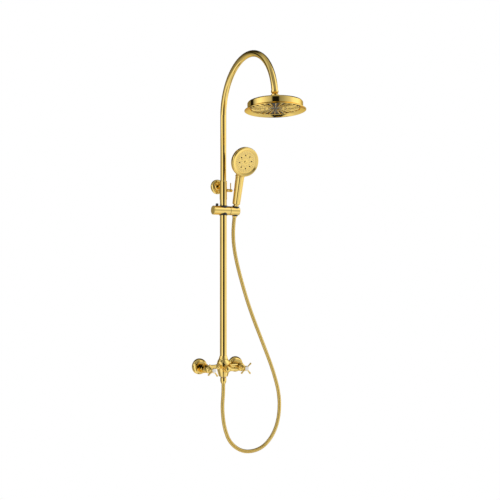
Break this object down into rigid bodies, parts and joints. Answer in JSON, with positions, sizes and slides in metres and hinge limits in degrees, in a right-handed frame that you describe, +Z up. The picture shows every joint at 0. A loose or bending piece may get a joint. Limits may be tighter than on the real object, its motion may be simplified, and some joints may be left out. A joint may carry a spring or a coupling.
{
  "type": "shower column",
  "caption": "Exposed gold shower column: wall valve with cross handles and diverter, telescopic riser, gooseneck with rainfall head, sliding holder, handset and hose.",
  "frame": {"origin": "on the wall, half way between the two inlet studs", "axes": "+Z up along the riser, +Y into the wall, +X to the right for someone facing the wall; the head reaches out along -Y"},
  "size_m": [0.3617, 0.5309, 1.4471],
  "materials": {
    "gold_plated_plastic": "gold-plated plastic, mirror bright",
    "polished_gold": "polished gold coating, mirror bright",
    "plain_brass": "machined",
    "white_porcelain": "glossy glaze",
    "black_plastic": "fine matt",
    "grey_rubber": "soft matt",
    "sand_rubber": "soft satin",
    "steel": "plain"
  },
  "bodies": {
    "valve_and_pole": {"left_s_union": "polished_gold", "right_s_union": "polished_gold", "left_escutcheon": "polished_gold", "right_escutcheon": "polished_gold", "left_union_nut": "polished_gold", "right_union_nut": "polished_gold", "inlet_washers": "grey_rubber", "valve_body": "polished_gold", "hot_cartridge": "plain_brass", "cold_cartridge": "plain_brass", "hot_bonnet": "polished_gold", "cold_bonnet": "polished_gold", "diverter_cartridge": "plain_brass", "diverter_bonnet": "polished_gold", "riser_nut": "polished_gold", "riser_pole": "polished_gold", "riser_sleeve": "polished_gold", "wall_plate": "plain_brass", "bracket_arm": "polished_gold", "bracket_grub_screw": "steel", "bracket_escutcheon": "polished_gold", "outlet_nipple": "plain_brass", "hose_washer": "grey_rubber", "hose_nut_bottom": "polished_gold", "hose": "polished_gold"},
    "hot_tap": {"hot_spindle": "plain_brass", "hot_handle": "polished_gold", "hot_handle_screw": "steel", "hot_index_cap": "white_porcelain"},
    "cold_tap": {"cold_spindle": "plain_brass", "cold_handle": "polished_gold", "cold_handle_screw": "steel", "cold_index_cap": "white_porcelain"},
    "diverter_key": {"diverter_spindle": "plain_brass", "diverter_lever": "polished_gold"},
    "lock": {"lock_screw": "polished_gold", "lock_pin": "polished_gold"},
    "riser_guide": {"guide_ring": "black_plastic"},
    "gooseneck": {"gooseneck_arm": "polished_gold", "arm_end_nut": "polished_gold", "swivel_ball": "polished_gold"},
    "ball_ring": {"ball_seal": "black_plastic"},
    "head": {"ball_collar": "polished_gold", "head_shell": "polished_gold", "head_rim": "polished_gold", "spray_plate": "polished_gold", "nozzle_mat": "sand_rubber"},
    "slide_bush": {"slider_bush": "black_plastic"},
    "slider": {"slider_body": "polished_gold", "slider_end_cap": "polished_gold", "button_spring": "steel"},
    "button": {"release_button": "black_plastic"},
    "handset_holder": {"holder": "polished_gold", "holder_liner": "black_plastic", "holder_pivot_screw": "steel"},
    "handset": {"handset_handle": "gold_plated_plastic", "handset_shell": "gold_plated_plastic", "handset_face": "gold_plated_plastic", "handset_nozzles": "sand_rubber", "hose_nut_top": "polished_gold"}
  },
  "joints": [
    {"name": "hot_tap_turn", "type": "hinge", "parent": "valve_and_pole", "child": "hot_tap", "pos_m": [-0.067, -0.1, -0.0055], "axis": [0, -1, 0], "range_deg": [0, 90]},
    {"name": "cold_tap_turn", "type": "hinge", "parent": "valve_and_pole", "child": "cold_tap", "pos_m": [0.067, -0.1, -0.0055], "axis": [0, -1, 0], "range_deg": [-90, 0]},
    {"name": "diverter_turn", "type": "hinge", "parent": "valve_and_pole", "child": "diverter_key", "pos_m": [0, -0.09, -0.0065], "axis": [0, -1, 0], "range_deg": [0, 90]},
    {"name": "lock_turn", "type": "hinge", "parent": "valve_and_pole", "child": "lock", "pos_m": [0.03, -0.05, 0.6475], "axis": [1, 0, 0], "range_deg": [0, 180]},
    {"name": "riser_slide", "type": "slide", "parent": "valve_and_pole", "child": "riser_guide", "axis": [0, 0, 1], "range_m": [-0.22, 0.18]},
    {"name": "gooseneck_swivel", "type": "hinge", "parent": "riser_guide", "child": "gooseneck", "pos_m": [0, -0.05, 0.8], "axis": [0, 0, 1], "range_deg": [-75, 75]},
    {"name": "head_tilt_x", "type": "hinge", "parent": "gooseneck", "child": "ball_ring", "pos_m": [0, -0.4134, 0.9256], "axis": [1, 0, 0], "range_deg": [-6, 6]},
    {"name": "head_tilt_y", "type": "hinge", "parent": "ball_ring", "child": "head", "pos_m": [0, -0.4134, 0.9256], "axis": [0, 1, 0], "range_deg": [-6, 6]},
    {"name": "slider_travel", "type": "slide", "parent": "valve_and_pole", "child": "slide_bush", "axis": [0, 0, 1], "range_m": [-0.28, 0.012], "deforming": ["hose"]},
    {"name": "slider_swing", "type": "hinge", "parent": "slide_bush", "child": "slider", "pos_m": [0, -0.05, 0.573], "axis": [0, 0, 1], "range_deg": [-40, 10]},
    {"name": "button_press", "type": "slide", "parent": "slider", "child": "button", "axis": [0, 0, -1], "range_m": [0, 0.004], "stiffness_N_per_m": 400, "springref_m": -0.003, "deforming": ["button_spring"]},
    {"name": "holder_tilt", "type": "hinge", "parent": "slider", "child": "handset_holder", "pos_m": [0.0252, -0.05, 0.573], "axis": [1, 0, 0], "range_deg": [-6, 40]},
    {"name": "handset_lift", "type": "slide", "parent": "handset_holder", "child": "handset", "axis": [0, -0.2756, 0.9613], "range_m": [0, 0.06]}
  ]
}
